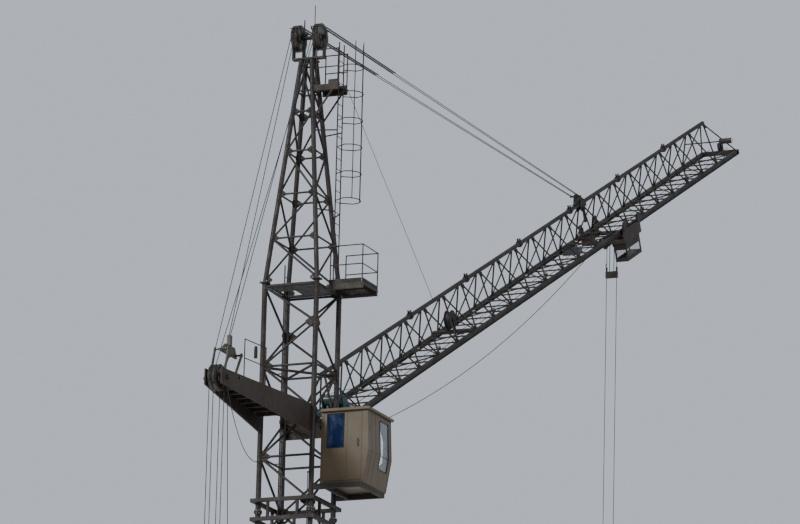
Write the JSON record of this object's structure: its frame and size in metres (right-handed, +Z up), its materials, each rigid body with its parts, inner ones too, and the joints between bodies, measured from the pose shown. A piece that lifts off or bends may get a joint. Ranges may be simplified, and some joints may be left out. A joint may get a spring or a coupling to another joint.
{
  "type": "tower crane",
  "caption": "Tower crane with a raised lattice jib, trolley with basket and hook, pyramid head, rear spacer, cab, slewing platform with ballast and a wheeled base.",
  "frame": {"origin": "ground level on the slewing axis, in the middle between the travel wheels", "axes": "+X along the jib, +Z up, +Y to the left of the jib, away from the cab"},
  "size_m": [39.2423, 6.2646, 34.8071],
  "materials": {
    "steel_dark": "weathered dark brown paint",
    "steel_worn": "weathered brown paint with rust",
    "steel_light": "worn bare steel",
    "teal_paint": "satin teal paint",
    "khaki_paint": "matt khaki paint",
    "cream_paint": "faded beige paint",
    "window_glass": "dark window glass",
    "rope_steel": "greased wire rope",
    "concrete": "cast concrete"
  },
  "bodies": {
    "undercarriage": {"ring_frame": "steel_worn", "corner_arms": "steel_worn", "bogie_frames": "steel_dark", "travel_wheels": "steel_light", "bearing_ring": "steel_light"},
    "upperworks": {"turning_ring": "steel_light", "platform_beams": "steel_worn", "platform_deck": "steel_dark", "ballast_blocks": "concrete", "hoist_winch": "teal_paint", "luffing_winch": "teal_paint", "tower_right": "steel_dark", "tower_front": "steel_dark", "tower_left": "steel_dark", "tower_rear": "steel_dark", "tower_frames": "steel_worn", "tower_ladder": "steel_dark", "inner_platform": "steel_dark", "mid_platform": "steel_dark", "head_right": "steel_dark", "head_front": "steel_dark", "head_left": "steel_dark", "head_rear": "steel_dark", "sheave_frame": "steel_dark", "head_sheaves": "steel_dark", "head_platform": "steel_worn", "head_ladder": "steel_dark", "ladder_hoops": "steel_dark", "lightning_rod": "steel_light", "spacer_frame": "steel_worn", "spacer_sheaves": "steel_dark", "equalizer": "khaki_paint", "rear_ropes": "rope_steel", "spacer_rail": "steel_dark", "cab_shell": "cream_paint", "cab_windows": "window_glass", "cab_carrier": "steel_worn", "jib_brackets": "steel_worn"},
    "jib": {"jib_top_chord": "steel_dark", "stay_lug": "steel_dark", "jib_left_side": "steel_dark", "jib_right_side": "steel_dark", "jib_bottom_frame": "steel_worn", "jib_end": "steel_dark", "trolley_winch": "teal_paint", "cable_drum": "steel_dark", "jib_box": "teal_paint"},
    "trolley": {"trolley_frame": "steel_worn", "trolley_wheels": "steel_light", "trolley_sheaves": "steel_light", "basket": "steel_dark"},
    "hanger": {"limit_weight": "steel_dark", "upper_falls": "rope_steel", "hoist_ropes": "rope_steel"},
    "hook_unit": {"hook_block": "steel_worn", "block_sheaves": "steel_light", "hook": "steel_light"},
    "stays_upper": {"stay_heads": "rope_steel"},
    "stay_left_lower": {"stay_left": "rope_steel"},
    "stay_right_lower": {"stay_right": "rope_steel"}
  },
  "joints": [
    {"name": "slew", "type": "hinge", "parent": "undercarriage", "child": "upperworks", "pos_m": [0, 0, 1.44], "axis": [0, 0, 1], "range_deg": [-180, 180]},
    {"name": "jib_luff", "type": "hinge", "parent": "upperworks", "child": "jib", "pos_m": [2.42, 0, 17.73], "axis": [0, -1, 0], "range_deg": [-27, 0]},
    {"name": "trolley_travel", "type": "slide", "parent": "jib", "child": "trolley", "axis": [0.891, 0, 0.454], "range_m": [-18.3, 10.1]},
    {"name": "hanger_level", "type": "hinge", "parent": "trolley", "child": "hanger", "pos_m": [24.80993, 0, 28.68931], "axis": [0, -1, 0], "range_deg": [-0.5, 27.5]},
    {"name": "hook_hoist", "type": "slide", "parent": "hanger", "child": "hook_unit", "axis": [0, 0, 1], "range_m": [0, 13.7], "deforming": ["hoist_ropes"]},
    {"name": "stay_swing", "type": "hinge", "parent": "upperworks", "child": "stays_upper", "pos_m": [1.4, 0, 28.35], "axis": [0, -1, 0], "range_deg": [-24, 0.5]},
    {"name": "stay_left_run", "type": "slide", "parent": "stays_upper", "child": "stay_left_lower", "axis": [0.9995, -0.0094, 0.0287], "range_m": [-0.05, 4.9]},
    {"name": "stay_right_run", "type": "slide", "parent": "stays_upper", "child": "stay_right_lower", "axis": [0.9995, 0.0094, 0.0287], "range_m": [-0.05, 4.9]}
  ],
  "couplings": [
    {"joint": "hanger_level", "follows": "jib_luff", "ratio": -1},
    {"joint": "stay_swing", "follows": "jib_luff", "ratio": 0.87402},
    {"joint": "stay_left_run", "follows": "jib_luff", "m_per_rad": -10.225},
    {"joint": "stay_right_run", "follows": "jib_luff", "m_per_rad": -10.225}
  ]
}
